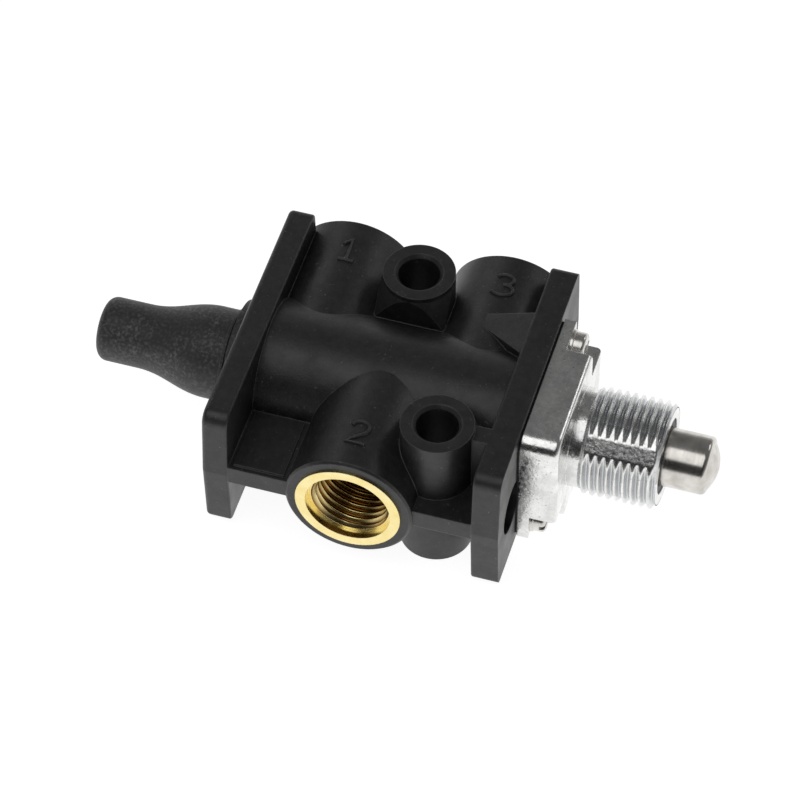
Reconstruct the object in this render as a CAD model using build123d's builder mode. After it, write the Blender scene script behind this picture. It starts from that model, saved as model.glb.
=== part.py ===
from build123d import *
import math
import os

# Plunger operated, spring returned 3/2 spool valve with G1/4 ports, in millimetres.
# X runs along the spool towards the plunger, Y towards ports 1 and 3, Z up.
# The origin is on the spool's axis, midway between the two mounting holes.

# Moulded body: two end flanges, a barrel along X, three port barrels and a web at half height.
# Its length is that of the spool's seals and cages, with room for a spigot at each end.
spigot_depth = 3.4
body_width = 49.2
body_top = 12.8
body_foot = 12.9
flange_draft = 0.9
flange_front_corner = 2.4
flange_rear_corner = 1.3
flange_foot_corner = 1.2
cap_flange = 4.4
head_flange = 4.7
flange_rim_fillet = 0.8
flange_inner_fillet = 0.4
barrel_radius = 11.6
web_thickness = 3.6
web_setback = 0.3
port_rim_radius = 10.7
port_rim_chamfer = 0.4
front_port_face = 25.1
rear_port_face = 25.7
port_pitch = 13.6

# Bosses for the two mounting screws, round at the top and square at the foot
boss_radius = 6.05
boss_height = 27.5
boss_round_height = 1.0
boss_cone_angle = 24.0
boss_offset = 15.1
boss_spacing = 12.0
mounting_hole = 7.0
mounting_chamfer = 0.55
bridge_thickness = 3.2
bridge_setback = 1.0
bridge_top_step = 0.95
bridge_foot_step = 1.55

# Bare panel on the floor of the front pocket, and the blind recess beside the head
panel_setback = 0.8
panel_length = 8.5
panel_depth = 11.7
panel_height = 0.35
recess_diameter = 9.0
recess_depth = 3.0
recess_beside_head = 2.8
recess_drop = 1.2

# Brass port inserts, moulded in
insert_proud = 0.35
insert_rim_radius = 8.85
insert_rim_length = 4.9
insert_shank_radius = 7.5
insert_length = 12.15
insert_groove_depth = 0.5
insert_groove_width = 2.0
port_thread_bore = 11.8
port_counterbore = 14.3
port_counterbore_depth = 1.5
port_thread_chamfer = 0.7
port_passage = 7.0

# Spool, its four seals and the cages between them
spool_bore = 13.0
spool_diameter = 8.0
spool_waist = 5.0
spool_stroke = 5.0
seal_width = 2.4
seal_fillet = 0.5
seal_running_gap = 0.05
seal_seat_gap = 0.05
cage_wall = 1.25
cage_ring = 1.6
cage_windows = 6
cage_window_width = 3.4
land_overlap = 2.3
spool_spring_reach = 3.05
spool_push_gap = 0.3
spring_nose_diameter = 4.4
spring_nose_length = 3.0
spool_chamfer = 0.5

# Spigots of the end cap and the head, which close the ends of the bore
spigot_diameter = 15.8
spigot_clearance = 0.1
spigot_bore_gap = 0.3
spigot_end_gap = 0.05
spigot_groove_depth = 1.1
spigot_groove_width = 1.7
spigot_groove_place = 1.4
ring_section = 1.2

# Tapered end cap that holds the return spring
cap_length = 25.3
cap_lip_diameter = 19.8
cap_lip_thickness = 1.65
cap_groove_diameter = 15.2
cap_groove_width = 0.7
cap_bead_diameter = 16.0
cap_bead_width = 0.5
cap_base_diameter = 15.6
cap_base_length = 3.0
cap_tip_diameter = 10.9
cap_tip_length = 7.2
cap_tip_fillet = 1.7
cap_wall = 1.7
cap_floor = 2.0

# Return spring
spring_wire = 0.8
spring_clearance = 0.35
spring_coils = 9
spring_end_gap = 0.1

# Die-cast head with its threaded neck
head_width = 27.6
head_height = 23.6
head_thickness = 6.4
head_corner = 3.0
head_screw_corner = 1.0
head_edge_fillet = 0.9
gasket_thickness = 0.3
gasket_margin = 0.35
notch_side_gap = 0.95
notch_end_gap = 0.35
notch_depth = 4.45
notch_corner = 0.6
neck_root_diameter = 16.6
neck_root_length = 2.0
neck_thread_diameter = 18.0
neck_thread_length = 12.9
neck_end_chamfer = 0.75
neck_bore = 12.8

# Screws that hold the head to the body, each with a washer under its head
screw_from_side = 3.0
screw_from_end = 2.5
washer_diameter = 5.4
washer_thickness = 0.5
screw_head_diameter = 4.9
screw_head_height = 2.0
screw_head_fillet = 0.6
screw_diameter = 2.6
screw_length = 12.0
screw_clearance = 0.05
screw_slot_width = 0.8
screw_slot_depth = 0.9
gusset_length = 7.8
gusset_tip_width = 2.7
gusset_root_height = 6.0
gusset_root_inwards = 6.6
gusset_root_outwards = 2.5

# Plunger, with the bush and the wiper that it runs in and the clip that keeps it in the head
plunger_diameter = 9.8
plunger_reach = 8.7
plunger_dome = 1.3
plunger_edge = 0.9
plunger_running_gap = 0.04
plunger_hole_gap = 0.35
plunger_tail_gap = 0.3
bush_length = 8.0
wiper_length = 2.2
wiper_recess = 0.2
wiper_running_gap = 0.1
clip_diameter = 12.4
clip_thickness = 1.0
clip_groove_depth = 0.6
clip_mouth = 8.0
clip_side_gap = 0.05
clip_rest_gap = 0.3
clip_chamber_gap = 0.5

# Places that follow from the sizes above
body_middle = -boss_spacing / 2
body_length = 3 * port_pitch + seal_width + 2 * spigot_depth
body_start = body_middle - body_length / 2
body_end = body_middle + body_length / 2
boss_top = boss_height / 2
rear_boss = (body_middle, boss_offset)
front_boss = (body_middle + boss_spacing, -boss_offset)
web_front = body_width / 2 - web_setback
front_insert_face = front_port_face + insert_proud
rear_insert_face = rear_port_face + insert_proud
inlet_place = body_middle - port_pitch
exhaust_place = body_middle + port_pitch
bore_radius = spool_bore / 2
spool_radius = spool_diameter / 2
spigot_bore_radius = spool_radius + spigot_bore_gap
seal_places = [body_middle + port_pitch * step for step in (-1.5, -0.5, 0.5, 1.5)]
seal_outer_radius = bore_radius - seal_seat_gap
stack_start = seal_places[0] - seal_width / 2
stack_end = seal_places[-1] + seal_width / 2
spigot_radius = spigot_diameter / 2
counterbore_radius = spigot_radius + spigot_clearance
cap_spigot_end = stack_start - spigot_end_gap
head_spigot_end = stack_end + spigot_end_gap
cap_end = body_start - cap_length
head_back = body_end + gasket_thickness
head_front = head_back + head_thickness
screw_place = (head_width / 2 - screw_from_side, head_height / 2 - screw_from_end)
screw_places = [screw_place, (-screw_place[0], -screw_place[1])]
screw_seat = head_front - notch_depth
screw_head_start = screw_seat + washer_thickness
screw_tip = screw_head_start - screw_length
notch_width = screw_from_side + screw_head_diameter / 2 + notch_side_gap
notch_height = screw_from_end + screw_head_diameter / 2 + notch_end_gap
recess_centre = (-head_width / 2 - recess_beside_head, -recess_drop)
neck_start = head_front + neck_root_length
neck_end = neck_start + neck_thread_length
wiper_front = neck_end - wiper_recess
bush_front = wiper_front - wiper_length
bush_back = bush_front - bush_length
clip_front = bush_back - clip_rest_gap
clip_chamber_radius = clip_diameter / 2 + clip_chamber_gap
spool_spring_end = cap_spigot_end - spool_spring_reach
spool_push_end = head_spigot_end + spool_stroke + spool_push_gap
plunger_tail = spool_push_end + plunger_tail_gap
plunger_tip = neck_end + plunger_reach
spring_start = cap_end + cap_floor + spring_end_gap
spring_finish = spool_spring_end - spring_end_gap

os.makedirs("parts", exist_ok=True)


def flange_outline():
    """Outline of an end flange, widest at the parting line and rounded at its top corners."""
    waist = body_width / 2
    top = waist - flange_draft
    with BuildSketch() as outline:
        with BuildLine():
            Polyline(
                (-top, -body_foot), (top, -body_foot), (waist, 0), (top, body_top),
                (-top, body_top), (-waist, 0), (-top, -body_foot),
            )
        make_face()
        fillet(vertices().group_by(Axis.Y)[0], flange_foot_corner)
        fillet(vertices().group_by(Axis.Y)[-1].sort_by(Axis.X)[-1], flange_rear_corner)
        fillet(vertices().group_by(Axis.Y)[-1].sort_by(Axis.X)[0], flange_front_corner)
    return outline.sketch


def head_outline(margin):
    """Outline of the head's plate, drawn in by margin, with tighter corners where its screws are."""
    with BuildSketch() as outline:
        Rectangle(head_width - 2 * margin, head_height - 2 * margin)
        screw_corners = vertices().filter_by(lambda v: v.X * v.Y > 0)
        plain_corners = vertices().filter_by(lambda v: v.X * v.Y < 0)
        fillet(plain_corners, head_corner - margin)
        fillet(screw_corners, head_screw_corner - margin)
    return outline.sketch


def insert_outline():
    """Half section of a port insert's outside, from its face inwards."""
    groove_start = insert_rim_length + insert_groove_width
    groove_end = groove_start + insert_groove_width
    groove_radius = insert_shank_radius - insert_groove_depth
    with BuildSketch() as outline:
        with BuildLine():
            Polyline(
                (0, 0), (insert_rim_radius, 0), (insert_rim_radius, insert_rim_length),
                (insert_shank_radius, insert_rim_length), (insert_shank_radius, groove_start),
                (groove_radius, groove_start), (groove_radius, groove_end),
                (insert_shank_radius, groove_end), (insert_shank_radius, insert_length),
                (0, insert_length), (0, 0),
            )
        make_face()
    return outline.sketch


def ring(inner, outer, start, length):
    """A plain ring about the spool's axis, length long towards the plunger."""
    with BuildPart() as made:
        with BuildSketch(Plane.YZ.offset(start)):
            Circle(outer)
            Circle(inner, mode=Mode.SUBTRACT)
        extrude(amount=length)
    return made.part


# Each port's own plane: its normal points out of the body
port_2_plane = Plane(origin=(body_middle, -front_insert_face, 0), x_dir=(1, 0, 0), z_dir=(0, -1, 0))
port_1_plane = Plane(origin=(inlet_place, rear_insert_face, 0), x_dir=(-1, 0, 0), z_dir=(0, 1, 0))
port_3_plane = Plane(origin=(exhaust_place, rear_insert_face, 0), x_dir=(-1, 0, 0), z_dir=(0, 1, 0))
port_planes = {"1": port_1_plane, "2": port_2_plane, "3": port_3_plane}


def section_plane(port_plane):
    """Plane through a port's axis, whose first direction is the radius and second runs inwards."""
    return Plane(origin=port_plane.origin, x_dir=port_plane.x_dir, z_dir=(0, 0, 1))


# One mounting boss: a square column cut to a cone near each end, so that it is round at the top
with BuildPart() as boss_form:
    with BuildSketch(Plane.XY.offset(-boss_top)):
        Circle(boss_radius)
        Rectangle(2 * boss_radius, boss_radius, align=(Align.CENTER, Align.MIN))
    extrude(amount=boss_height)
    cone_foot = boss_radius * (math.sqrt(2) - 1) / math.tan(math.radians(boss_cone_angle))
    cone_start = boss_top - boss_round_height
    with BuildSketch(Plane.XZ):
        with BuildLine():
            Polyline(
                (0, -boss_top), (boss_radius, -boss_top), (boss_radius, -cone_start),
                (boss_radius * math.sqrt(2), -cone_start + cone_foot),
                (boss_radius * math.sqrt(2), cone_start - cone_foot),
                (boss_radius, cone_start), (boss_radius, boss_top), (0, boss_top), (0, -boss_top),
            )
        make_face()
    revolve(axis=Axis.Z, mode=Mode.INTERSECT)


# Gusset that takes a screw of the head, sloped from the flange down to the barrels
with BuildPart() as screw_gusset:
    with BuildSketch(Plane.YZ.offset(body_end - head_flange)):
        with Locations((screw_place[0] + (gusset_root_outwards - gusset_root_inwards) / 2, screw_place[1])):
            Rectangle(gusset_root_inwards + gusset_root_outwards, gusset_root_height)
    with BuildSketch(Plane.YZ.offset(body_end - head_flange - gusset_length)):
        with Locations(screw_place):
            Rectangle(gusset_tip_width, gusset_tip_width)
    loft()


# Body moulding
with BuildPart() as body_moulding:
    with BuildSketch(Plane.YZ.offset(body_start)):
        add(flange_outline())
    extrude(amount=cap_flange)
    fillet(faces().sort_by(Axis.X)[0].edges(), flange_rim_fillet)
    with BuildSketch(Plane.YZ.offset(body_end)):
        add(flange_outline())
    extrude(amount=-head_flange)
    for inner_face in (body_start + cap_flange, body_end - head_flange):
        fillet(faces().filter_by_position(Axis.X, inner_face, inner_face).edges(), flange_inner_fillet)
    with BuildSketch(Plane.YZ.offset(body_start + cap_flange)):
        Circle(barrel_radius)
    extrude(amount=body_length - cap_flange - head_flange)
    with BuildSketch(Plane.XY.offset(-web_thickness / 2)):
        with Locations((body_middle, 0)):
            Rectangle(body_length - cap_flange, 2 * web_front)
    extrude(amount=web_thickness)
    for port_plane in port_planes.values():
        with BuildSketch(port_plane.offset(-insert_proud)):
            Circle(port_rim_radius)
        extrude(amount=insert_proud - abs(port_plane.origin.Y))
    for rims in (
        edges().filter_by_position(Axis.Y, -front_port_face, -front_port_face),
        edges().filter_by_position(Axis.Y, rear_port_face, rear_port_face),
    ):
        chamfer(rims.filter_by(GeomType.CIRCLE), port_rim_chamfer)

    # Mounting bosses, the rear one with its flat side turned to the barrel, and the front one's bridge
    with Locations(Location((*rear_boss, 0), (0, 0, 180))):
        add(boss_form.part)
    with Locations((*front_boss, 0)):
        add(boss_form.part)
    with BuildSketch(Plane.XY.offset(bridge_foot_step - boss_top)):
        with Locations((front_boss[0], front_boss[1] - bridge_setback)):
            Rectangle(body_end - front_boss[0] - head_flange / 2, bridge_thickness,
                      align=(Align.MIN, Align.MIN))
    extrude(amount=boss_height - bridge_foot_step - bridge_top_step)

    # Gussets behind the head's flange, one above the barrel and one below it
    with Locations(Location(), Location((0, 0, 0), (180, 0, 0))):
        add(screw_gusset.part)

    # Bare panel on the pocket floor
    with BuildSketch(Plane.XY.offset(web_thickness / 2)):
        with Locations((body_start + cap_flange + panel_setback, -web_front + panel_setback)):
            Rectangle(panel_length, panel_depth, align=(Align.MIN, Align.MIN))
    extrude(amount=panel_height)

    # Bore for the spool and its seals, with a counterbore at each end for a spigot
    with BuildSketch(Plane.YZ.offset(body_start)):
        Circle(bore_radius)
    extrude(amount=body_length, mode=Mode.SUBTRACT)
    for mouth, floor in ((body_start, stack_start), (body_end, stack_end)):
        with BuildSketch(Plane.YZ.offset(mouth)):
            Circle(counterbore_radius)
        extrude(amount=floor - mouth, mode=Mode.SUBTRACT)

    # Seats of the port inserts and the passages from them to the bore
    for port_plane in port_planes.values():
        with BuildSketch(section_plane(port_plane)):
            add(insert_outline())
        revolve(axis=Axis(port_plane.origin, port_plane.z_dir), mode=Mode.SUBTRACT)
        with BuildSketch(port_plane):
            Circle(port_passage / 2)
        extrude(amount=-abs(port_plane.origin.Y), mode=Mode.SUBTRACT)

    # Mounting holes, chamfered at both ends
    with BuildSketch(Plane.XY.offset(-boss_top)):
        with Locations(rear_boss, front_boss):
            Circle(mounting_hole / 2)
    extrude(amount=boss_height, mode=Mode.SUBTRACT)
    chamfer(
        edges().filter_by(GeomType.CIRCLE).filter_by(
            lambda e: abs(abs(e.center().Z) - boss_top) < 0.01 and e.radius < boss_radius - 1),
        mounting_chamfer,
    )

    # Screw holes and the blind recess in the head's face
    with BuildSketch(Plane.YZ.offset(body_end)):
        with Locations(screw_places):
            Circle(screw_diameter / 2 + screw_clearance)
    extrude(amount=screw_tip - spigot_end_gap - body_end, mode=Mode.SUBTRACT)
    with BuildSketch(Plane.YZ.offset(body_end)):
        with Locations(recess_centre):
            Circle(recess_diameter / 2)
    extrude(amount=-recess_depth, mode=Mode.SUBTRACT)

body_moulding.part.label = "body_moulding"
export_step(body_moulding.part, "parts/body_moulding.step")


# Brass inserts, one in each port
for number, port_plane in port_planes.items():
    with BuildPart() as port_insert:
        with BuildSketch(section_plane(port_plane)):
            add(insert_outline())
        revolve(axis=Axis(port_plane.origin, port_plane.z_dir))
        with BuildSketch(port_plane):
            Circle(port_thread_bore / 2)
        extrude(amount=-insert_length, mode=Mode.SUBTRACT)
        with BuildSketch(port_plane):
            Circle(port_counterbore / 2)
        extrude(amount=-port_counterbore_depth, mode=Mode.SUBTRACT)
        chamfer(
            edges().filter_by(GeomType.CIRCLE).filter_by(
                lambda e: abs(e.radius - port_thread_bore / 2) < 0.01).sort_by(
                Axis(port_plane.origin, port_plane.z_dir))[-1],
            port_thread_chamfer,
        )
    port_insert.part.label = "port_insert_" + number
    export_step(port_insert.part, "parts/port_insert_" + number + ".step")


# Seals that the spool runs in
for count, place in enumerate(seal_places, start=1):
    with BuildPart() as spool_seal:
        add(ring(spool_radius + seal_running_gap, seal_outer_radius, place - seal_width / 2, seal_width))
        fillet(edges().filter_by(GeomType.CIRCLE), seal_fillet)
    spool_seal.part.label = "spool_seal_" + str(count)
    export_step(spool_seal.part, "parts/spool_seal_" + str(count) + ".step")


# Cages that hold the seals apart, open to each port through their windows
cage_length = port_pitch - seal_width - 2 * seal_seat_gap
for name, middle in (("inlet", inlet_place), ("outlet", body_middle), ("exhaust", exhaust_place)):
    with BuildPart() as seal_cage:
        add(ring(seal_outer_radius - cage_wall, seal_outer_radius, middle - cage_length / 2, cage_length))
        with Locations(Plane.YZ.offset(middle)):
            with PolarLocations(seal_outer_radius, cage_windows):
                Box(2 * bore_radius, cage_window_width, cage_length - 2 * cage_ring,
                    align=(Align.MAX, Align.CENTER, Align.CENTER), mode=Mode.SUBTRACT)
    seal_cage.part.label = name + "_cage"
    export_step(seal_cage.part, "parts/" + name + "_cage.step")


# Spool: at rest its waist joins ports 2 and 3, and pushed in it joins 1 and 2
with BuildPart() as spool:
    with BuildSketch(Plane.YZ.offset(spool_spring_end)):
        Circle(spool_radius)
    extrude(amount=spool_push_end - spool_spring_end)
    chamfer(edges().filter_by(GeomType.CIRCLE), spool_chamfer)
    waist_start = seal_places[1] + land_overlap
    waist_end = seal_places[2] + spool_stroke - land_overlap
    with BuildSketch(Plane.YZ.offset(waist_start)):
        Circle(bore_radius)
        Circle(spool_waist / 2, mode=Mode.SUBTRACT)
    extrude(amount=waist_end - waist_start, mode=Mode.SUBTRACT)
    with BuildSketch(Plane.YZ.offset(spool_spring_end)):
        Circle(spring_nose_diameter / 2)
    extrude(amount=-spring_nose_length)
spool.part.label = "spool"
export_step(spool.part, "parts/spool.step")


# End cap: a lip against the body, a groove and a bead, then a smooth taper to a parallel tip
lip_end = body_start - cap_lip_thickness
bead_start = lip_end - cap_groove_width
bead_end = bead_start - cap_bead_width
base_end = bead_end - cap_base_length
tip_start = cap_end + cap_tip_length
with BuildPart() as end_cap:
    with BuildSketch(Plane.XY):
        with BuildLine():
            Polyline(
                (cap_spigot_end, 0), (cap_spigot_end, spigot_radius), (body_start, spigot_radius),
                (body_start, cap_lip_diameter / 2), (lip_end, cap_lip_diameter / 2),
                (lip_end, cap_groove_diameter / 2), (bead_start, cap_groove_diameter / 2),
                (bead_start, cap_bead_diameter / 2), (bead_end, cap_bead_diameter / 2),
                (bead_end, cap_base_diameter / 2), (base_end, cap_base_diameter / 2),
            )
            taper = Spline(
                (base_end, cap_base_diameter / 2), (tip_start, cap_tip_diameter / 2),
                tangents=[(-1, 0), (-1, 0)],
            )
            Polyline(
                taper @ 1, (cap_end, cap_tip_diameter / 2), (cap_end, 0), (cap_spigot_end, 0),
            )
        make_face()
    revolve(axis=Axis.X)
    fillet(edges().filter_by(GeomType.CIRCLE).sort_by(Axis.X)[0], cap_tip_fillet)
    with BuildSketch(Plane.YZ.offset(cap_spigot_end)):
        Circle(spigot_bore_radius)
    extrude(amount=tip_start - cap_spigot_end, mode=Mode.SUBTRACT)
    with BuildSketch(Plane.YZ.offset(cap_spigot_end)):
        Circle(cap_tip_diameter / 2 - cap_wall)
    extrude(amount=cap_end + cap_floor - cap_spigot_end, mode=Mode.SUBTRACT)
    with BuildSketch(Plane.YZ.offset(body_start + spigot_groove_place)):
        Circle(counterbore_radius)
        Circle(spigot_radius - spigot_groove_depth, mode=Mode.SUBTRACT)
    extrude(amount=spigot_groove_width, mode=Mode.SUBTRACT)
end_cap.part.label = "end_cap"
export_step(end_cap.part, "parts/end_cap.step")


# Rings that seal the two spigots
ring_inset = spigot_groove_place + spigot_groove_width / 2
for name, ring_place in (("cap_ring", body_start + ring_inset), ("head_ring", body_end - ring_inset)):
    with BuildPart() as spigot_ring:
        with BuildSketch(Plane.XY):
            with Locations((ring_place, counterbore_radius - ring_section / 2)):
                Circle(ring_section / 2 - spigot_end_gap)
        revolve(axis=Axis.X)
    spigot_ring.part.label = name
    export_step(spigot_ring.part, "parts/" + name + ".step")


# Return spring, wound between the cap's floor and the spool
spring_radius = cap_tip_diameter / 2 - cap_wall - spring_clearance - spring_wire / 2
spring_length = spring_finish - spring_start - spring_wire
with BuildPart() as return_spring:
    with BuildLine() as coil:
        Helix(spring_length / spring_coils, spring_length, spring_radius,
              center=(spring_start + spring_wire / 2, 0, 0), direction=(1, 0, 0))
    with BuildSketch(Plane(origin=coil.line @ 0, z_dir=coil.line % 0)):
        Circle(spring_wire / 2)
    sweep(path=coil.line, is_frenet=True)
return_spring.part.label = "return_spring"
export_step(return_spring.part, "parts/return_spring.step")


# Gasket between head and body
with BuildPart() as head_gasket:
    with BuildSketch(Plane.YZ.offset(body_end)):
        add(head_outline(gasket_margin))
        Circle(counterbore_radius, mode=Mode.SUBTRACT)
        with Locations(screw_places):
            Circle(screw_diameter / 2 + screw_clearance, mode=Mode.SUBTRACT)
    extrude(amount=gasket_thickness)
head_gasket.part.label = "head_gasket"
export_step(head_gasket.part, "parts/head_gasket.step")


# Operator head: rounded plate, notched at two corners for its screws, with a neck for the plunger
with BuildPart() as operator_head:
    with BuildSketch(Plane.YZ.offset(head_back)):
        add(head_outline(0))
    extrude(amount=head_thickness)
    fillet(faces().sort_by(Axis.X)[-1].edges(), head_edge_fillet)
    for side in (1, -1):
        with BuildSketch(Plane.YZ.offset(screw_seat)):
            with Locations((side * head_width / 2, side * head_height / 2)):
                RectangleRounded(2 * notch_width, 2 * notch_height, notch_corner)
        extrude(amount=head_thickness, mode=Mode.SUBTRACT)
    with BuildSketch(Plane.YZ.offset(head_front)):
        Circle(neck_root_diameter / 2)
    extrude(amount=neck_root_length)
    with BuildSketch(Plane.YZ.offset(neck_start)):
        Circle(neck_thread_diameter / 2)
    extrude(amount=neck_thread_length)
    chamfer(faces().sort_by(Axis.X)[-1].edges(), neck_end_chamfer)
    chamfer(
        edges().filter_by(GeomType.CIRCLE).filter_by(
            lambda e: abs(e.radius - neck_thread_diameter / 2) < 0.01).sort_by(Axis.X)[0],
        (neck_thread_diameter - neck_root_diameter) / 2 - 0.05,
    )

    # Spigot, bores and screw holes
    with BuildSketch(Plane.YZ.offset(head_back)):
        Circle(spigot_radius)
    extrude(amount=head_spigot_end - head_back)
    with BuildSketch(Plane.YZ.offset(body_end - spigot_groove_place - spigot_groove_width)):
        Circle(counterbore_radius)
        Circle(spigot_radius - spigot_groove_depth, mode=Mode.SUBTRACT)
    extrude(amount=spigot_groove_width, mode=Mode.SUBTRACT)
    with BuildSketch(Plane.YZ.offset(head_spigot_end)):
        Circle(plunger_diameter / 2 + plunger_hole_gap)
    extrude(amount=neck_end - head_spigot_end, mode=Mode.SUBTRACT)
    with BuildSketch(Plane.YZ.offset(body_end)):
        Circle(clip_chamber_radius)
    extrude(amount=bush_back - body_end, mode=Mode.SUBTRACT)
    with BuildSketch(Plane.YZ.offset(bush_back)):
        Circle(neck_bore / 2)
    extrude(amount=neck_end - bush_back, mode=Mode.SUBTRACT)
    with BuildSketch(Plane.YZ.offset(head_back)):
        with Locations(screw_places):
            Circle(screw_diameter / 2 + screw_clearance)
    extrude(amount=head_thickness, mode=Mode.SUBTRACT)
operator_head.part.label = "operator_head"
export_step(operator_head.part, "parts/operator_head.step")


# The two screws of the head, slotted cheese heads with captive washers
with BuildPart() as head_screws:
    for start, radius, length in (
        (screw_tip, screw_diameter / 2, screw_length),
        (screw_seat, washer_diameter / 2, washer_thickness),
        (screw_head_start, screw_head_diameter / 2, screw_head_height),
    ):
        with BuildSketch(Plane.YZ.offset(start)):
            with Locations(screw_places):
                Circle(radius)
        extrude(amount=length)
    fillet(faces().group_by(Axis.X)[-1].edges(), screw_head_fillet)
    with BuildSketch(Plane.YZ.offset(screw_head_start + screw_head_height)):
        with Locations(screw_places):
            Rectangle(screw_head_diameter, screw_slot_width)
    extrude(amount=-screw_slot_depth, mode=Mode.SUBTRACT)
head_screws.part.label = "head_screws"
export_step(head_screws.part, "parts/head_screws.step")


# Bush and wiper in the neck
with BuildPart() as plunger_bush:
    add(ring(plunger_diameter / 2 + plunger_running_gap, neck_bore / 2, bush_back, bush_length))
plunger_bush.part.label = "plunger_bush"
export_step(plunger_bush.part, "parts/plunger_bush.step")

with BuildPart() as plunger_wiper:
    add(ring(plunger_diameter / 2 + wiper_running_gap, neck_bore / 2, bush_front, wiper_length))
    fillet(faces().sort_by(Axis.X)[-1].edges(), wiper_recess)
plunger_wiper.part.label = "plunger_wiper"
export_step(plunger_wiper.part, "parts/plunger_wiper.step")


# Plunger: a rounded edge and a shallow dome at its tip, and a groove for its clip
with BuildPart() as plunger:
    dome_edge = plunger_diameter / 2 - plunger_edge
    dome_start = plunger_tip - plunger_dome
    dome_radius = (dome_edge**2 + plunger_dome**2) / (2 * plunger_dome)
    half_turn = math.asin(dome_edge / dome_radius) / 2
    dome_middle = (plunger_tip - dome_radius * (1 - math.cos(half_turn)), dome_radius * math.sin(half_turn))
    with BuildSketch(Plane.XY):
        with BuildLine():
            Polyline(
                (plunger_tip, 0), (plunger_tail, 0), (plunger_tail, plunger_diameter / 2),
                (dome_start - plunger_edge, plunger_diameter / 2),
            )
            TangentArc(
                (dome_start - plunger_edge, plunger_diameter / 2), (dome_start, dome_edge),
                tangent=(1, 0),
            )
            ThreePointArc((dome_start, dome_edge), dome_middle, (plunger_tip, 0))
        make_face()
    revolve(axis=Axis.X)
    with BuildSketch(Plane.YZ.offset(clip_front - clip_thickness - clip_side_gap)):
        Circle(plunger_diameter / 2 + plunger_edge)
        Circle(plunger_diameter / 2 - clip_groove_depth, mode=Mode.SUBTRACT)
    extrude(amount=clip_thickness + 2 * clip_side_gap, mode=Mode.SUBTRACT)
    chamfer(faces().sort_by(Axis.X)[0].edges(), spool_chamfer)
plunger.part.label = "plunger"
export_step(plunger.part, "parts/plunger.step")


# Open clip in the plunger's groove, which stops it at the bush
with BuildPart() as plunger_clip:
    add(ring(plunger_diameter / 2 - clip_groove_depth + clip_side_gap, clip_diameter / 2,
             clip_front - clip_thickness, clip_thickness))
    with BuildSketch(Plane.YZ.offset(clip_front - clip_thickness)):
        Rectangle(clip_mouth, clip_diameter, align=(Align.CENTER, Align.MAX))
    extrude(amount=clip_thickness, mode=Mode.SUBTRACT)
plunger_clip.part.label = "plunger_clip"
export_step(plunger_clip.part, "parts/plunger_clip.step")
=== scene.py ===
# %% [markdown]
# # A plunger air valve
# A valve body of black moulded plastic carries three brass port inserts, a soft tapered end cap
# and a bright die-cast head, from whose threaded neck a steel plunger stands out. The solids come
# from the CAD frame, so this script only dresses them: it cuts the threads, raises the port
# numerals, gives every surface its finish, and sets up floor, lights and camera.

# %% Load the frame
import math

import bmesh
import bpy
from mathutils import Matrix, Vector


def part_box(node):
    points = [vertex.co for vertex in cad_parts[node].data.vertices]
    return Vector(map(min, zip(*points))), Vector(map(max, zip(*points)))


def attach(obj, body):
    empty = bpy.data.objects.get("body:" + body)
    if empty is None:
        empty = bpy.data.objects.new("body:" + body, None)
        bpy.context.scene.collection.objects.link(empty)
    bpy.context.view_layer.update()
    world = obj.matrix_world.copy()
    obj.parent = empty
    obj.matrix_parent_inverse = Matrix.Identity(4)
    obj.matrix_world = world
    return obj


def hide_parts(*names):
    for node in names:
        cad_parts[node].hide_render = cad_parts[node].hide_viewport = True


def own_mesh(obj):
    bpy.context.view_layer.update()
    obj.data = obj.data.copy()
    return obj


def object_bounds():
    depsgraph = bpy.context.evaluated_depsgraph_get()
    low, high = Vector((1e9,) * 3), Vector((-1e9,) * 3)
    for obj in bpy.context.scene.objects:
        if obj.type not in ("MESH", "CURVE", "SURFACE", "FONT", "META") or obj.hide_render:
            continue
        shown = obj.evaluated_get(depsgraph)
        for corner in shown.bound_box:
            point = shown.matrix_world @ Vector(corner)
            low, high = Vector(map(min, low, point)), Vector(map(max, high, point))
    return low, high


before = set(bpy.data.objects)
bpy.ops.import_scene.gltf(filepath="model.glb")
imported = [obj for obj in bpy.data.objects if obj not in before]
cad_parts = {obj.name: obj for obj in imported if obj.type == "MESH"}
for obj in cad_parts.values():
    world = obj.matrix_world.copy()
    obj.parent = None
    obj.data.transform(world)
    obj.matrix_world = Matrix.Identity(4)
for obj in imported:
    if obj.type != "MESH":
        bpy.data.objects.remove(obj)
cad_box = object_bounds()
MM = 0.001

# %% [markdown]
# ## Colours and nodes
# A colour picked from a photograph is an sRGB value, but shaders count in linear light. One
# function turns a hex value into what the shader expects. A second one adds a node, sets what it
# is told and connects it, which keeps each finish readable.

# %% Colour and node helpers
def colour(hex_value):
    """An sRGB hex value as linear RGBA."""
    parts = [int(hex_value[i:i + 2], 16) / 255 for i in (1, 3, 5)]
    linear = [p / 12.92 if p <= 0.04045 else ((p + 0.055) / 1.055) ** 2.4 for p in parts]
    return (*linear, 1.0)


def add_node(tree, kind, settings=None, links=None):
    """A new node in tree, with its settings made and its inputs connected."""
    node = tree.nodes.new(kind)
    for name, value in (settings or {}).items():
        if isinstance(name, str) and hasattr(node, name):
            setattr(node, name, value)
        else:
            node.inputs[name].default_value = value
    for name, source in (links or {}).items():
        tree.links.new(source, node.inputs[name])
    return node


print("#202020 in linear light:", [round(c, 4) for c in colour("#202020")[:3]])
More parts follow.
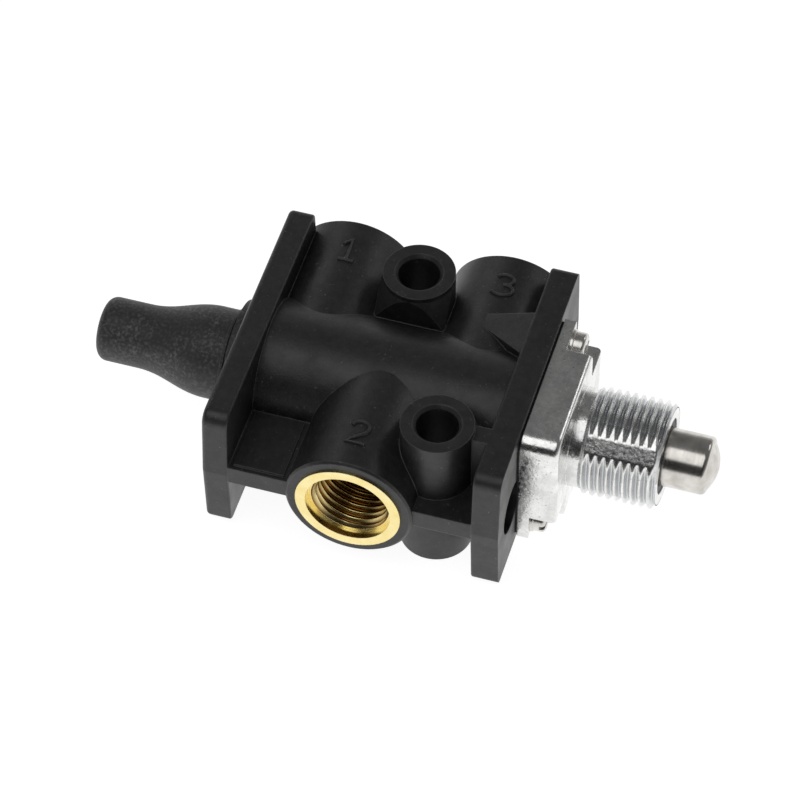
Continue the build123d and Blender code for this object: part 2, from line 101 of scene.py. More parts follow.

# %% [markdown]
# ## A place to start each finish
# Every finish here is one Principled shader. Its patterns are made in object space, in metres, so
# a grain of 0.3 mm stays 0.3 mm wherever the piece is. Real edges are never knife sharp, so the
# Bevel node rounds the shading along them by a real radius, and comparing its normal with the
# true one also tells where an edge is; that mask paints a pale highlight into the base colour.
# Most patterns are patches of cloudy noise of a known size.

# %% The start of a finish
def new_finish(name, settings):
    """A material with one Principled shader; returns the material, its tree, shader and place."""
    material = bpy.data.materials.new(name)
    material.use_nodes = True
    tree = material.node_tree
    tree.nodes.clear()
    shader = add_node(tree, "ShaderNodeBsdfPrincipled", settings)
    add_node(tree, "ShaderNodeOutputMaterial", links={"Surface": shader.outputs["BSDF"]})
    place = add_node(tree, "ShaderNodeTexCoord").outputs["Object"]
    return material, tree, shader, place


def patches(tree, place, size_mm, span, reach=(0.0, 1.0), detail=3.0):
    """Cloudy patches about size_mm across, with the noise's span stretched to reach."""
    cloud = add_node(tree, "ShaderNodeTexNoise", {"Scale": 1 / (size_mm * MM), "Detail": detail},
                     {"Vector": place})
    stretched = add_node(tree, "ShaderNodeMapRange", {"From Min": span[0], "From Max": span[1],
                                                      "To Min": reach[0], "To Max": reach[1]},
                         {"Value": cloud.outputs["Fac"]})
    return stretched.outputs["Result"]


def soft_edges(tree, radius_mm, share):
    """A normal that rounds sharp edges by radius_mm, and a painted highlight mask that reaches share on an
    edge.
    """
    rounded = add_node(tree, "ShaderNodeBevel", {"samples": 4, "Radius": radius_mm * MM})
    true_normal = add_node(tree, "ShaderNodeNewGeometry").outputs["Normal"]
    likeness = add_node(tree, "ShaderNodeVectorMath", {"operation": "DOT_PRODUCT"},
                        {0: rounded.outputs["Normal"], 1: true_normal})
    # This mask paints a pale highlight along the edges into whichever base colour uses it.
    painted_edge_highlight = add_node(tree, "ShaderNodeMapRange", {"From Min": 0.995, "From Max": 0.85, "To Max": share},
                    {"Value": likeness.outputs["Value"]})
    return rounded.outputs["Normal"], painted_edge_highlight.outputs["Result"]


print("finish helpers ready")

# %% [markdown]
# ## Glass-filled nylon
# The body is injection moulded in black nylon. The mould's spark-eroded walls leave a fine grain
# about 0.3 mm across, so the sheen is broad and dull. Handling leaves pale specks of dust, and a
# painted highlight lightens the base colour along the edges.

# %% Moulded nylon
def moulded_nylon():
    material, tree, shader, place = new_finish("Moulded glass filled nylon", {"IOR": 1.53})
    normal, painted_edge_highlight = soft_edges(tree, 0.3, 0.36)
    base = add_node(tree, "ShaderNodeMix", {"data_type": "RGBA", 6: colour("#202020"), 7: colour("#2b2b2b")},
                    {0: patches(tree, place, 1.2, (0.35, 0.65), detail=5.0)})
    base = add_node(tree, "ShaderNodeMix", {"data_type": "RGBA", 7: colour("#7b7b7b")},
                    {0: patches(tree, place, 0.5, (0.66, 0.73), (0.0, 0.45), 4.0), 6: base.outputs[2]})
    # Painted highlight: the base colour turns pale along the edges.
    base = add_node(tree, "ShaderNodeMix", {"data_type": "RGBA", 7: colour("#949494")},
                    {0: painted_edge_highlight, 6: base.outputs[2]})
    tree.links.new(base.outputs[2], shader.inputs["Base Color"])
    tree.links.new(patches(tree, place, 4.0, (0.3, 0.7), (0.36, 0.48)), shader.inputs["Roughness"])
    grain = add_node(tree, "ShaderNodeBump", {"Strength": 0.6, "Distance": 0.04 * MM},
                     {"Height": patches(tree, place, 0.3, (0.0, 1.0), detail=2.0), "Normal": normal})
    tree.links.new(grain.outputs["Normal"], shader.inputs["Normal"])
    return material


nylon = moulded_nylon()
print("made", nylon.name)

# %% [markdown]
# ## Rubber of the end cap
# The cap is moulded in a softer, duller plastic rubber. Its skin is matt, and dust lies on it in
# a pale bloom of specks half a millimetre across, thicker in some patches than in others. A
# painted highlight lightens its edges.

# %% Cap rubber
def cap_rubber():
    material, tree, shader, place = new_finish("Moulded cap rubber", {"IOR": 1.52, "Roughness": 0.55})
    normal, painted_edge_highlight = soft_edges(tree, 0.25, 0.34)
    dust = add_node(tree, "ShaderNodeMath", {"operation": "MULTIPLY"},
                    {0: patches(tree, place, 0.5, (0.46, 0.7), (0.0, 0.55), 5.0),
                     1: patches(tree, place, 5.0, (0.38, 0.62), (0.25, 1.0))})
    base = add_node(tree, "ShaderNodeMix", {"data_type": "RGBA", 6: colour("#2f2f2f"), 7: colour("#858585")},
                    {0: dust.outputs[0]})
    # Painted highlight: the base colour turns pale along the edges.
    base = add_node(tree, "ShaderNodeMix", {"data_type": "RGBA", 7: colour("#8c8c8c")},
                    {0: painted_edge_highlight, 6: base.outputs[2]})
    tree.links.new(base.outputs[2], shader.inputs["Base Color"])
    skin = add_node(tree, "ShaderNodeBump", {"Strength": 0.6, "Distance": 0.04 * MM},
                    {"Height": patches(tree, place, 0.25, (0.0, 1.0)), "Normal": normal})
    tree.links.new(skin.outputs["Normal"], shader.inputs["Normal"])
    return material


rubber = cap_rubber()
print("made", rubber.name)

# %% [markdown]
# ## Rubber of the seals
# The rings, the gasket and the wiper are nitrile rubber from polished moulds, blacker and smoother
# than the cap. Little of it shows: a dark line under the head and a ring round the plunger. Two
# close blacks and a faint grain are enough for that.

# %% Seal rubber
def seal_rubber():
    material, tree, shader, place = new_finish("Moulded nitrile rubber", {"IOR": 1.52, "Roughness": 0.5})
    base = add_node(tree, "ShaderNodeMix", {"data_type": "RGBA", 6: colour("#101010"), 7: colour("#1e1e1e")},
                    {0: patches(tree, place, 2.0, (0.0, 1.0))})
    tree.links.new(base.outputs[2], shader.inputs["Base Color"])
    skin = add_node(tree, "ShaderNodeBump", {"Strength": 1.0, "Distance": 0.01 * MM},
                    {"Height": patches(tree, place, 0.2, (0.0, 1.0))})
    tree.links.new(skin.outputs["Normal"], shader.inputs["Normal"])
    return material


nitrile = seal_rubber()
print("made", nitrile.name)

# %% [markdown]
# ## Machined brass
# The inserts are turned from brass bar. A turning tool leaves fine rings about the port's axis,
# which runs along Y here, and the metal's colour comes from its base colour alone, so metallic is
# 1 and the IOR stays as it is. Rings 0.12 mm apart are drawn 0.25 mm apart, so that they show. In
# the thread's grooves, and more the deeper inside a bore, a painted shade turns the brass brown,
# placed by the mesh's shade value. A painted highlight lightens the edges, and the parts inside
# the body get a darker copy of the brass, also painted shade.

# %% Machined brass
def machined_brass(name, centre, axis, light, dark):
    """Brass turned about an axis along X or Y through centre."""
    material, tree, shader, place = new_finish(name, {"Metallic": 1.0})
    normal, painted_edge_highlight = soft_edges(tree, 0.12, 0.5)
    turned = add_node(tree, "ShaderNodeMapping", {"Location": [-c for c in centre]}, {"Vector": place})
    keep = (0.0, 1.0, 1.0) if axis == "X" else (1.0, 0.0, 1.0)
    flat = add_node(tree, "ShaderNodeVectorMath", {"operation": "MULTIPLY", 1: keep},
                    {0: turned.outputs[0]})
    radius = add_node(tree, "ShaderNodeVectorMath", {"operation": "LENGTH"}, {0: flat.outputs[0]})
    rings = add_node(tree, "ShaderNodeTexNoise", {"noise_dimensions": "1D", "Scale": 1 / (0.25 * MM),
                                                 "Detail": 2.0}, {"W": radius.outputs["Value"]})
    base = add_node(tree, "ShaderNodeMix", {"data_type": "RGBA", 6: colour(light), 7: colour(dark)},
                    {0: patches(tree, place, 2.5, (0.35, 0.75))})
    # Painted shade: the brass turns brown in the thread's grooves and deeper inside the bore.
    painted_recess_shade = add_node(tree, "ShaderNodeAttribute", {"attribute_name": "painted_recess_shade"}).outputs["Fac"]
    base = add_node(tree, "ShaderNodeMix", {"data_type": "RGBA", 7: colour("#714a18")},
                    {0: painted_recess_shade, 6: base.outputs[2]})
    # Painted highlight: the base colour turns pale along the edges.
    base = add_node(tree, "ShaderNodeMix", {"data_type": "RGBA", 7: colour("#fff0b8")},
                    {0: painted_edge_highlight, 6: base.outputs[2]})
    tree.links.new(base.outputs[2], shader.inputs["Base Color"])
    gloss = add_node(tree, "ShaderNodeMapRange", {"From Min": 0.3, "From Max": 0.7, "To Min": 0.16,
                                                  "To Max": 0.3}, {"Value": rings.outputs["Fac"]})
    tree.links.new(gloss.outputs["Result"], shader.inputs["Roughness"])
    turning = add_node(tree, "ShaderNodeBump", {"Strength": 0.6, "Distance": 0.01 * MM},
                       {"Height": rings.outputs["Fac"], "Normal": normal})
    tree.links.new(turning.outputs["Normal"], shader.inputs["Normal"])
    return material


def port_middle(number):
    """The point on a port's axis at the middle of its insert."""
    low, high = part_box("port_insert_" + number)
    return (low + high) / 2


brass = {number: machined_brass("Turned brass, port " + number, port_middle(number), "Y",
                                "#fbecb2", "#f2dc92") for number in "123"}
# Painted shade: the parts inside the body get a darker copy of the brass.
painted_shade_brass = machined_brass("Turned brass, darkened as painted shade inside", Vector((0, 0, 0)), "X", "#cfae6a", "#a8843f")
print("made brass for", len(brass), "ports")

# %% [markdown]
# ## Die-cast zinc
# The head is a zinc casting with a bright plated skin. Zinc castings carry small pits about half a
# millimetre apart, and a faint cloudiness from the die's release agent. Painted shade makes the
# bottoms of the thread's grooves darker than its crests, and a painted highlight lightens the edges.

# %% Die-cast zinc
def cast_zinc():
    material, tree, shader, place = new_finish("Bright zinc die casting", {"Metallic": 1.0})
    normal, painted_edge_highlight = soft_edges(tree, 0.2, 0.8)
    base = add_node(tree, "ShaderNodeMix", {"data_type": "RGBA", 6: colour("#d8d8d7"), 7: colour("#f2f2f0")},
                    {0: patches(tree, place, 2.5, (0.35, 0.7), detail=5.0)})
    base = add_node(tree, "ShaderNodeMix", {"data_type": "RGBA", 6: colour("#a8a9a9")},
                    {0: patches(tree, place, 0.45, (0.28, 0.36)), 7: base.outputs[2]})
    # Painted shade: the zinc turns greyer towards the bottoms of the thread's grooves.
    painted_recess_shade = add_node(tree, "ShaderNodeAttribute", {"attribute_name": "painted_recess_shade"}).outputs["Fac"]
    base = add_node(tree, "ShaderNodeMix", {"data_type": "RGBA", 7: colour("#c2c4c6")},
                    {0: painted_recess_shade, 6: base.outputs[2]})
    # Painted highlight: the base colour turns pale along the edges.
    base = add_node(tree, "ShaderNodeMix", {"data_type": "RGBA", 7: colour("#f8f8f7")},
                    {0: painted_edge_highlight, 6: base.outputs[2]})
    tree.links.new(base.outputs[2], shader.inputs["Base Color"])
    tree.links.new(patches(tree, place, 0.7, (0.35, 0.7), (0.15, 0.3), 4.0), shader.inputs["Roughness"])
    relief = add_node(tree, "ShaderNodeBump", {"Strength": 0.5, "Distance": 0.05 * MM},
                      {"Height": patches(tree, place, 0.6, (0.0, 1.0)), "Normal": normal})
    tree.links.new(relief.outputs["Normal"], shader.inputs["Normal"])
    return material


zinc = cast_zinc()
print("made", zinc.name)

# %% [markdown]
# ## Ground steel
# The plunger is a hardened steel pin, ground round and nickel plated. Grinding leaves fine lines
# round the pin, so the gloss is high with a slight streak, and its colour is a warm grey. A painted
# highlight lightens its edges.

# %% Ground steel
def ground_steel(name, light, dark, roughness):
    """Steel ground about the X axis."""
    material, tree, shader, place = new_finish(name, {"Metallic": 1.0})
    normal, painted_edge_highlight = soft_edges(tree, 0.15, 0.5)
    along = add_node(tree, "ShaderNodeSeparateXYZ", links={"Vector": place}).outputs["X"]
    lines = add_node(tree, "ShaderNodeTexNoise", {"noise_dimensions": "1D", "Scale": 1 / (0.2 * MM),
                                                 "Detail": 3.0}, {"W": along}).outputs["Fac"]
    base = add_node(tree, "ShaderNodeMix", {"data_type": "RGBA", 6: colour(light), 7: colour(dark)},
                    {0: patches(tree, place, 2.2, (0.35, 0.7), detail=4.0)})
    # Painted highlight: the base colour turns pale along the edges.
    base = add_node(tree, "ShaderNodeMix", {"data_type": "RGBA", 7: colour("#f6f5f2")},
                    {0: painted_edge_highlight, 6: base.outputs[2]})
    tree.links.new(base.outputs[2], shader.inputs["Base Color"])
    gloss = add_node(tree, "ShaderNodeMapRange", {"From Min": 0.3, "From Max": 0.7,
                                                  "To Min": roughness - 0.04, "To Max": roughness + 0.05},
                     {"Value": lines})
    tree.links.new(gloss.outputs["Result"], shader.inputs["Roughness"])
    grinding = add_node(tree, "ShaderNodeBump", {"Strength": 0.5, "Distance": 0.004 * MM},
                        {"Height": lines, "Normal": normal})
    tree.links.new(grinding.outputs["Normal"], shader.inputs["Normal"])
    return material


steel = ground_steel("Ground nickel plated steel", "#d9d6d1", "#bdb9b3", 0.2)
screw_steel = ground_steel("Nickel plated screw steel", "#e0deda", "#c6c3bd", 0.26)
wire = ground_steel("Drawn spring wire", "#b4b5b8", "#8f9094", 0.35)
spool_metal = ground_steel("Polished anodised aluminium", "#d8dadd", "#c3c6ca", 0.22)
print("made", steel.name, "and its relatives")

# %% [markdown]
# ## Threads
# A screw thread is a groove that climbs one pitch in each turn. It could be a boolean cut with a
# helix, but a grid of points is cleaner: each row runs round the axis and also climbs one pitch,
# so the grid's lines follow the crests and roots exactly. At the two ends the rows are held at
# the end's plane, where a cone keeps them inside the chamfer. Crest and root are narrow flats, each
# given as its share of half a pitch.

# %% The profile of a thread
CREST_SHARE = 0.14
ROOT_SHARE = 0.196
THREAD_STEPS = (0.0, 0.07, 0.15, 0.23, 0.31, 0.4, 0.5, 0.6, 0.69, 0.77, 0.85, 0.93)


def groove_share(step):
    """How deep the groove is at a share of one pitch, from 0 at the crest to 1 at the root."""
    away = abs(step - 0.5) * 2
    return min(1.0, max(0.0, (1.0 - CREST_SHARE - away) / (1.0 - CREST_SHARE - ROOT_SHARE)))


print("groove at a quarter of the pitch:", round(groove_share(0.25), 2))


# %% A thread as a grid
THREAD_SPOKES = 192
WELD_DISTANCE = 0.002 * MM
LEAST_EDGE = 0.0001 * MM


def thread_mesh(length, pitch, crest, root, radius_at, place_at):
    """A helical grid along length, in metres, whose painted shade value tells how dark each point is.

    radius_at(along, turn, groove) gives the radius and place_at(along, turn, radius) the point.
    The painted shade is full at the root radius, and inside a bore it also deepens with the depth."""
    inside = root > crest
    rows = [pitch * (turn_number + step) for turn_number in range(-1, math.ceil(length / pitch) + 2)
            for step in THREAD_STEPS]
    mesh = bmesh.new()
    painted_recess_shade_layer = mesh.verts.layers.float.new("painted_recess_shade")
    mesh.loops.layers.float_vector.new("cad_normal")
    grid = []
    for row in rows:
        line = []
        for spoke in range(THREAD_SPOKES + 1):
            turn = spoke / THREAD_SPOKES
            along = min(max(row + pitch * turn - pitch, 0.0), length)
            groove = groove_share((row / pitch) % 1.0)
            radius = radius_at(along, turn, groove)
            vert = mesh.verts.new(place_at(along, turn, radius))
            # Painted shade: full at the thread's root and, inside a bore, deeper the farther in.
            painted_recess_shade = max(0.0, (radius - crest) / (root - crest)) + (along / length if inside else 0.0)
            vert[painted_recess_shade_layer] = min(1.0, painted_recess_shade)
            line.append(vert)
        grid.append(line)
    for lower, upper in zip(grid, grid[1:]):
        for spoke in range(THREAD_SPOKES):
            corners = [lower[spoke], lower[spoke + 1], upper[spoke + 1], upper[spoke]]
            if inside:
                corners.reverse()
            longer_side = max((lower[spoke + end].co - upper[spoke + end].co).length for end in (0, 1))
            if longer_side > LEAST_EDGE:
                mesh.faces.new(corners)
    bmesh.ops.remove_doubles(mesh, verts=mesh.verts, dist=WELD_DISTANCE)
    bmesh.ops.dissolve_degenerate(mesh, dist=LEAST_EDGE, edges=mesh.edges)
    loose = [vert for vert in mesh.verts if not vert.link_faces]
    bmesh.ops.delete(mesh, geom=loose, context="VERTS")
    return mesh


print("a thread has", THREAD_SPOKES, "points round the axis and", len(THREAD_STEPS), "in each pitch")

# %% [markdown]
# ## Copies of CAD pieces
# A CAD mesh is never changed, so a piece that needs a thread starts as a copy of its node, loses its
# plain faces and gets the grid in their place. The copied faces keep the CAD's own normals, because
# Blender's averages would bend the light on flat faces beside fillets. The grid has no such normals,
# so there Blender works them out, smooth up to the sharp angle.

# %% Copies of CAD pieces
SHARP_ANGLE = math.radians(32)
CAD_TOLERANCE = 0.02 * MM


def cad_copy_without(node, unwanted):
    """A bmesh copy of a CAD node, with its normals kept, without the faces that are unwanted."""
    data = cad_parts[node].data.copy()
    kept = data.attributes.new("cad_normal", "FLOAT_VECTOR", "CORNER")
    for corner, normal in zip(kept.data, data.corner_normals):
        corner.vector = normal.vector
    mesh = bmesh.new()
    mesh.from_mesh(data)
    bpy.data.meshes.remove(data)
    mesh.verts.layers.float.new("painted_recess_shade")
    gone = [face for face in mesh.faces if unwanted(face)]
    bmesh.ops.delete(mesh, geom=gone, context="FACES")
    return mesh, len(gone)


def add_mesh(mesh, other):
    """Put another bmesh's faces into mesh."""
    data = bpy.data.meshes.new("added")
    other.to_mesh(data)
    other.free()
    mesh.from_mesh(data)
    bpy.data.meshes.remove(data)


def piece_from(mesh, name, finish, body):
    """A piece made from a bmesh, with its finish, riding on a body."""
    data = bpy.data.meshes.new(name)
    mesh.to_mesh(data)
    mesh.free()
    data.materials.clear()
    data.materials.append(finish)
    for face in data.polygons:
        face.use_smooth = True
        face.material_index = 0
    data.set_sharp_from_angle(angle=SHARP_ANGLE)
    kept = data.attributes.get("cad_normal")
    if kept is not None:
        data.normals_split_custom_set([corner.vector.copy() for corner in kept.data])
        data.attributes.remove(data.attributes["cad_normal"])
    piece = bpy.data.objects.new(name, data)
    bpy.context.scene.collection.objects.link(piece)
    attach(piece, body)
    return piece


print("copy helpers ready")

# %% [markdown]
# ## The neck's thread
# The neck is 18 mm across its crests. It is cast with its thread, so where the two halves of the
# die met, a smooth flat runs along each side. Beside it the grooves run out: they grow shallower
# towards the flat and so end in points. The flats lie at 45 degrees, one of them towards the viewer.

# %% Threaded neck
NECK_RADIUS = 9.0 * MM
NECK_ROOT_RADIUS = 8.12 * MM
NECK_PITCH = 1.385 * MM
NECK_LENGTH = 12.9 * MM
NECK_COLLAR_RADIUS = 8.35 * MM
NECK_MOUTH_RADIUS = 8.25 * MM
neck_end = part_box("operator_head")[1].x
neck_start = neck_end - NECK_LENGTH
FLAT_ANGLES = (math.radians(135.0), math.radians(315.0))
FLAT_HALF_ANGLE = math.radians(9.3)
FLAT_RUN_OUT = math.radians(16.0)
FLAT_DISTANCE = NECK_RADIUS * math.cos(FLAT_HALF_ANGLE)


def neck_radius(along, turn, groove):
    """Radius of the neck: the thread, its chamfers, and the flats along the die's parting line."""
    angle = turn * 2 * math.pi
    off = min(abs((angle - flat + math.pi) % (2 * math.pi) - math.pi) for flat in FLAT_ANGLES)
    if off <= FLAT_HALF_ANGLE:
        radius = FLAT_DISTANCE / math.cos(off)
    else:
        fade = max(0.0, 1.0 - (off - FLAT_HALF_ANGLE) / FLAT_RUN_OUT)
        radius = NECK_RADIUS - max(0.0, groove - fade) * (NECK_RADIUS - NECK_ROOT_RADIUS)
    return min(radius, NECK_COLLAR_RADIUS + along, NECK_MOUTH_RADIUS + NECK_LENGTH - along)


def on_neck(along, turn, radius):
    angle = turn * 2 * math.pi
    return Vector((neck_start + along, radius * math.cos(angle), radius * math.sin(angle)))


def on_neck_outside(face):
    """True for the CAD faces that the thread takes the place of."""
    for vert in face.verts:
        radius = math.hypot(vert.co.y, vert.co.z)
        if radius < NECK_MOUTH_RADIUS - CAD_TOLERANCE or vert.co.x < neck_start - CAD_TOLERANCE:
            return False
    return True


head_mesh, faces_gone = cad_copy_without("operator_head", on_neck_outside)
add_mesh(head_mesh, thread_mesh(NECK_LENGTH, NECK_PITCH, NECK_RADIUS, NECK_ROOT_RADIUS,
                                neck_radius, on_neck))
cast_head = piece_from(head_mesh, "cast_head", zinc, "valve")
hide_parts("operator_head")
print("neck thread from", round(neck_start / MM, 2), "to", round(neck_end / MM, 2), "mm;",
      faces_gone, "plain faces replaced")

# %% [markdown]
# ## The port threads
# Each insert has a G1/4 internal thread: about 13.1 mm at the roots, a pitch of 1.337 mm, and 11.8 mm
# where the drill left it. Its mouth is a plain counterbore with a small lead-in cone. A right-handed
# thread turns the same way whichever end it is seen from, so the angle runs with the way the mouth
# faces.

# %% Threaded port inserts
PORT_DRILL_RADIUS = 5.9 * MM
PORT_ROOT_RADIUS = 6.55 * MM
PORT_PITCH = 1.337 * MM
PORT_COUNTERBORE_DEPTH = 1.5 * MM
PORT_CHAMFER = 0.7 * MM


def thread_port(number, outward):
    """The insert of a port with its thread; outward is 1 or -1, the way its mouth faces along Y."""
    node = "port_insert_" + number
    low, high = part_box(node)
    middle = port_middle(number)
    mouth = high.y if outward > 0 else low.y
    length = high.y - low.y - PORT_COUNTERBORE_DEPTH

    def port_radius(along, turn, groove):
        radius = PORT_DRILL_RADIUS + groove * (PORT_ROOT_RADIUS - PORT_DRILL_RADIUS)
        cone = PORT_DRILL_RADIUS + PORT_CHAMFER - along
        foot = PORT_DRILL_RADIUS + length - along
        return min(max(radius, cone), foot, PORT_DRILL_RADIUS + PORT_CHAMFER)

    def on_port(along, turn, radius):
        angle = turn * 2 * math.pi * outward
        return Vector((middle.x + radius * math.cos(angle),
                       mouth - outward * (PORT_COUNTERBORE_DEPTH + along),
                       middle.z + radius * math.sin(angle)))

    def on_bore(face):
        limit = PORT_DRILL_RADIUS + PORT_CHAMFER + CAD_TOLERANCE
        for vert in face.verts:
            inward = outward * (mouth - vert.co.y)
            radius = math.hypot(vert.co.x - middle.x, vert.co.z - middle.z)
            if radius > limit or inward < PORT_COUNTERBORE_DEPTH - CAD_TOLERANCE:
                return False
        return True

    insert, gone = cad_copy_without(node, on_bore)
    add_mesh(insert, thread_mesh(length, PORT_PITCH, PORT_DRILL_RADIUS, PORT_ROOT_RADIUS,
                                 port_radius, on_port))
    piece = piece_from(insert, "threaded_insert_" + number, brass[number], "valve")
    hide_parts(node)
    print("port", number, "thread", round(length / MM, 2), "mm deep;", gone, "plain faces replaced")


for number, outward in (("1", 1), ("2", -1), ("3", 1)):
    thread_port(number, outward)

# %% [markdown]
# ## The return spring
# The spring sits between the cap's floor and the spool, so it grows shorter when the plunger is
# pushed in. Riding on one body it would stay long and the spool would pass through its coils. Its
# shape in the CAD is right, so a copy takes its place; the copy rides on the valve's body with a
# mesh of its own.

# %% Spring copy
spring_mesh = cad_copy_without("return_spring", lambda face: False)[0]
coil_spring = piece_from(spring_mesh, "coil_spring", wire, "valve")
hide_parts("return_spring")
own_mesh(coil_spring)

# %% [markdown]
# ## The port numerals
# The mould raises a numeral beside each port. Each one is a few strokes: straight lines and arcs in
# a box one unit wide and high. Laid onto the barrel they follow its curve, and a round section
# 0.7 mm across turns them into beads that stand half out of the plastic.

# %% Strokes of the numerals
BARREL_RADIUS = 10.7 * MM
BEAD_RADIUS = 0.36 * MM
ARC_STEPS = 14


def arc(middle, radii, start, end):
    """Points of an arc, with its angles in degrees."""
    angles = [math.radians(start + (end - start) * step / ARC_STEPS) for step in range(ARC_STEPS + 1)]
    return [(middle[0] + radii[0] * math.cos(a), middle[1] + radii[1] * math.sin(a)) for a in angles]


STROKES = {
    "1": [[(0.1, 0.74), (0.5, 1.0), (0.5, 0.0)], [(0.1, 0.0), (0.9, 0.0)]],
    "2": [arc((0.5, 0.7), (0.42, 0.3), 165, -40) + [(0.06, 0.0), (0.96, 0.0)]],
    "3": [arc((0.45, 0.75), (0.4, 0.25), 150, -90), arc((0.45, 0.27), (0.5, 0.27), 80, -150)],
}
print("strokes per numeral:", {name: len(lines) for name, lines in STROKES.items()})


# %% Raised numerals
def raised_numeral(text, barrel_x, centre, width, height):
    """A numeral raised on a port's barrel, whose axis is along Y at barrel_x."""
    curve = bpy.data.curves.new("numeral_" + text, "CURVE")
    curve.dimensions = "3D"
    curve.bevel_depth = BEAD_RADIUS
    curve.bevel_resolution = 3
    curve.use_fill_caps = True
    for stroke in STROKES[text]:
        line = curve.splines.new("POLY")
        points = [point for start, end in zip(stroke, stroke[1:])
                  for point in (start, ((start[0] + end[0]) / 2, (start[1] + end[1]) / 2))]
        points.append(stroke[-1])
        line.points.add(len(points) - 1)
        for bead, (across, up_share) in zip(line.points, points):
            x = centre[0] + (across - 0.5) * width
            y = centre[1] + (up_share - 0.5) * height
            bead.co = (x, y, math.sqrt(BARREL_RADIUS ** 2 - (x - barrel_x) ** 2), 1.0)
    holder = bpy.data.objects.new("numeral_" + text, curve)
    bpy.context.scene.collection.objects.link(holder)
    data = bpy.data.meshes.new_from_object(holder.evaluated_get(bpy.context.evaluated_depsgraph_get()))
    bpy.data.objects.remove(holder)
    mesh = bmesh.new()
    mesh.from_mesh(data)
    piece_from(mesh, "numeral_" + text, nylon, "valve")
    print("numeral", text, "at", [round(c / MM, 1) for c in centre])


NUMERAL_HEIGHT = 4.5 * MM
for text, aside, along_port, width in (("2", -0.2 * MM, -18.0 * MM, 3.5 * MM),
                                       ("1", 0.3 * MM, 19.0 * MM, 3.2 * MM),
                                       ("3", -0.1 * MM, 18.9 * MM, 3.7 * MM)):
    barrel_x = port_middle(text).x
    raised_numeral(text, barrel_x, (barrel_x + aside, along_port), width, NUMERAL_HEIGHT)

# %% [markdown]
# ## Dressing the CAD pieces
# The other pieces keep their CAD shape, which is already right. Each one only gets its finish.

# %% Finishes of the CAD nodes
finishes = {
    "body_moulding": nylon, "end_cap": rubber, "cap_ring": nitrile, "head_ring": nitrile,
    "head_gasket": nitrile, "plunger_wiper": nitrile, "spool_seal_1": nitrile,
    "spool_seal_2": nitrile, "spool_seal_3": nitrile, "spool_seal_4": nitrile,
    "operator_head": zinc, "head_screws": screw_steel, "plunger": steel, "plunger_clip": wire,
    "return_spring": wire, "spool": spool_metal, "plunger_bush": painted_shade_brass,
    "inlet_cage": painted_shade_brass, "outlet_cage": painted_shade_brass, "exhaust_cage": painted_shade_brass,
    "port_insert_1": brass["1"], "port_insert_2": brass["2"], "port_insert_3": brass["3"],
}
for node, finish in finishes.items():
    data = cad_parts[node].data
    data.materials.clear()
    data.materials.append(finish)
print("dressed", len(finishes), "of", len(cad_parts), "nodes")

# %% [markdown]
# ## Floor and light
# Small products are photographed on a light table: a sheet of white acrylic that is lit from below
# as well as from above, so shadows all but vanish and every surface that faces down or sideways
# mirrors white. The sheet's pattern is too faint to see and only keeps it from being one flat grey.

# %% Light table
FLOOR_HALF_WIDTH = 2.5
FLOOR_GAP = 0.2 * MM
floor_mesh = bmesh.new()
bmesh.ops.create_grid(floor_mesh, x_segments=8, y_segments=8, size=FLOOR_HALF_WIDTH)
floor_data = bpy.data.meshes.new("light_table")
floor_mesh.to_mesh(floor_data)
floor_mesh.free()
floor = bpy.data.objects.new("light_table", floor_data)
bpy.context.scene.collection.objects.link(floor)
floor.location = (0, 0, cad_box[0][2] - FLOOR_GAP)
acrylic, tree, shader, place = new_finish("White acrylic sheet", {
    "Roughness": 0.6, "Emission Color": colour("#ffffff"), "Emission Strength": 0.93})
base = add_node(tree, "ShaderNodeMix", {"data_type": "RGBA", 6: colour("#9c9c9c"), 7: colour("#a2a2a2")},
                {0: patches(tree, place, 60.0, (0.0, 1.0))})
tree.links.new(base.outputs[2], shader.inputs["Base Color"])
floor_data.materials.append(acrylic)
print("floor at", round(floor.location.z / MM, 2), "mm")

# %% [markdown]
# ## The room
# Bright metal looks like the room it mirrors. This one is grey overhead, paler towards the horizon
# and darkest on the camera's side. The camera itself sees a near white behind the valve.

# %% Dark room
DARK_SIDE = (-0.1, -0.85, 0.5)
world = bpy.data.worlds.new("Studio room")
bpy.context.scene.world = world
world.use_nodes = True
room = world.node_tree
room.nodes.clear()
direction = add_node(room, "ShaderNodeTexCoord").outputs["Generated"]
height = add_node(room, "ShaderNodeSeparateXYZ", links={"Vector": direction}).outputs["Z"]
horizon = add_node(room, "ShaderNodeMapRange", {"From Min": 0.35, "From Max": 0.0}, {"Value": height})
shade = add_node(room, "ShaderNodeMix", {"data_type": "RGBA", 6: colour("#6c6c6c"), 7: colour("#cacaca")},
                 {0: horizon.outputs["Result"]})
towards = add_node(room, "ShaderNodeVectorMath", {"operation": "DOT_PRODUCT", 1: DARK_SIDE},
                   {0: direction})
front_share = add_node(room, "ShaderNodeMapRange", {"From Min": 0.55, "From Max": 0.9},
                       {"Value": towards.outputs["Value"]})
shade = add_node(room, "ShaderNodeMix", {"data_type": "RGBA", 7: colour("#2d2d2d")},
                 {0: front_share.outputs["Result"], 6: shade.outputs[2]})
seen = add_node(room, "ShaderNodeLightPath").outputs["Is Camera Ray"]
shade = add_node(room, "ShaderNodeMix", {"data_type": "RGBA", 7: colour("#f4f4f4")},
                 {0: seen, 6: shade.outputs[2]})
sky = add_node(room, "ShaderNodeBackground", {"Strength": 1.0}, {"Color": shade.outputs[2]})
add_node(room, "ShaderNodeOutputWorld", links={"Surface": sky.outputs[0]})
print("room made of", len(room.nodes), "nodes")

# %% [markdown]
# ## The lamps
# Four soft boxes light the valve: one over the camera, and three behind the valve. A lamp's power is
# spread over its whole face, so each is given a brightness instead, and its power is worked out
# from that. Distances and sizes are in metres.

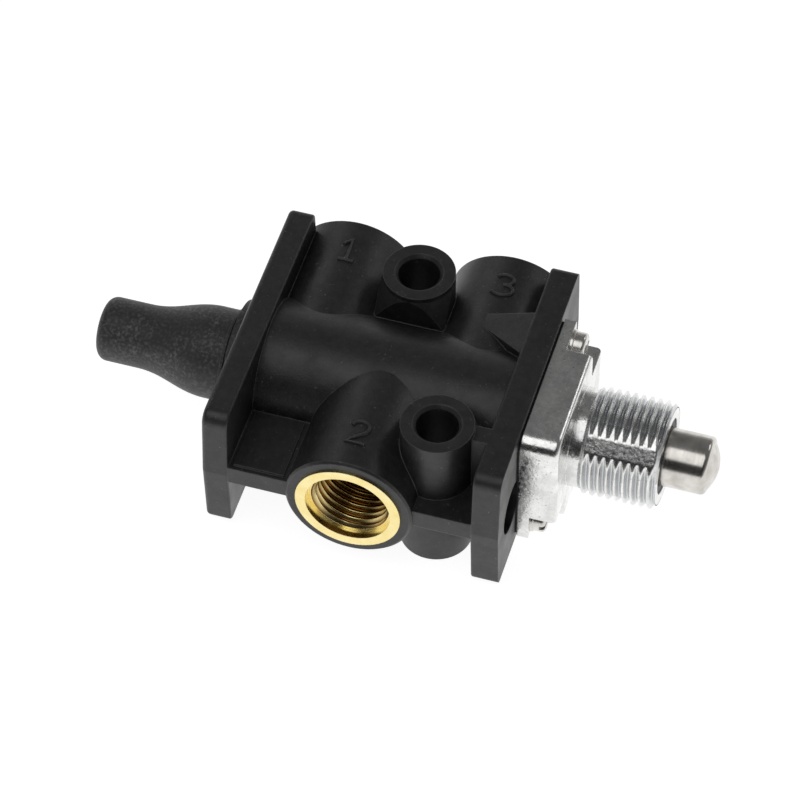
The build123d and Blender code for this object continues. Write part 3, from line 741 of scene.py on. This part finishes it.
# %% Soft boxes
def soft_box(name, direction, distance, size, brightness):
    """A square soft box that looks at the valve, with its brightness as radiance."""
    lamp = bpy.data.lights.new(name, "AREA")
    lamp.shape = "SQUARE"
    lamp.size = size
    lamp.energy = brightness * math.pi * size ** 2
    holder = bpy.data.objects.new(name, lamp)
    bpy.context.scene.collection.objects.link(holder)
    holder.location = Vector(direction).normalized() * distance
    holder.rotation_euler = (-holder.location).to_track_quat("-Z", "Y").to_euler()


soft_box("Soft box over the camera", (-0.185, -0.38, 0.905), distance=0.9, size=0.68, brightness=1.25)
soft_box("Fill at the back", (-0.4, 0.9, 0.35), distance=1.2, size=0.5, brightness=0.8)
soft_box("Soft box at the back left", (-0.55, 0.62, 0.56), distance=1.2, size=0.35, brightness=0.8)
soft_box("Soft box at the back right", (0.52, 0.62, 0.59), distance=1.2, size=0.4, brightness=1.4)
bpy.context.scene.view_settings.view_transform = "Standard"

# %% [markdown]
# ## Camera
# The photograph was taken from in front and above, from 0.7 m away with a long lens. The camera's
# axes are worked out from its azimuth and elevation.

# %% Camera
AZIMUTH = math.radians(16.751)
ELEVATION = math.radians(49.992)
AIM = Vector((-6.0 * MM, 0, 0))
SHIFT_RIGHT = 1.174 * MM
SHIFT_DOWN = 1.1235 * MM
DISTANCE = 700.275 * MM
FOCAL_LENGTH_MM = 191.45
SENSOR_WIDTH_MM = 36.0
FARTHEST_SEEN = 20.0
back = Vector((math.sin(AZIMUTH) * math.cos(ELEVATION), -math.cos(AZIMUTH) * math.cos(ELEVATION),
               math.sin(ELEVATION)))
right = Vector((math.cos(AZIMUTH), math.sin(AZIMUTH), 0))
up = back.cross(right)
lens = bpy.data.cameras.new("Camera")
lens.lens = FOCAL_LENGTH_MM
lens.sensor_width = SENSOR_WIDTH_MM
lens.clip_end = FARTHEST_SEEN
camera = bpy.data.objects.new("Camera", lens)
bpy.context.scene.collection.objects.link(camera)
view_axes = Matrix((right, up, back)).transposed().to_4x4()
camera_place = AIM + right * SHIFT_RIGHT - up * SHIFT_DOWN + back * DISTANCE
camera.matrix_world = Matrix.Translation(camera_place) @ view_axes
bpy.context.scene.camera = camera
print("camera", [round(c / MM, 1) for c in camera_place], "mm")
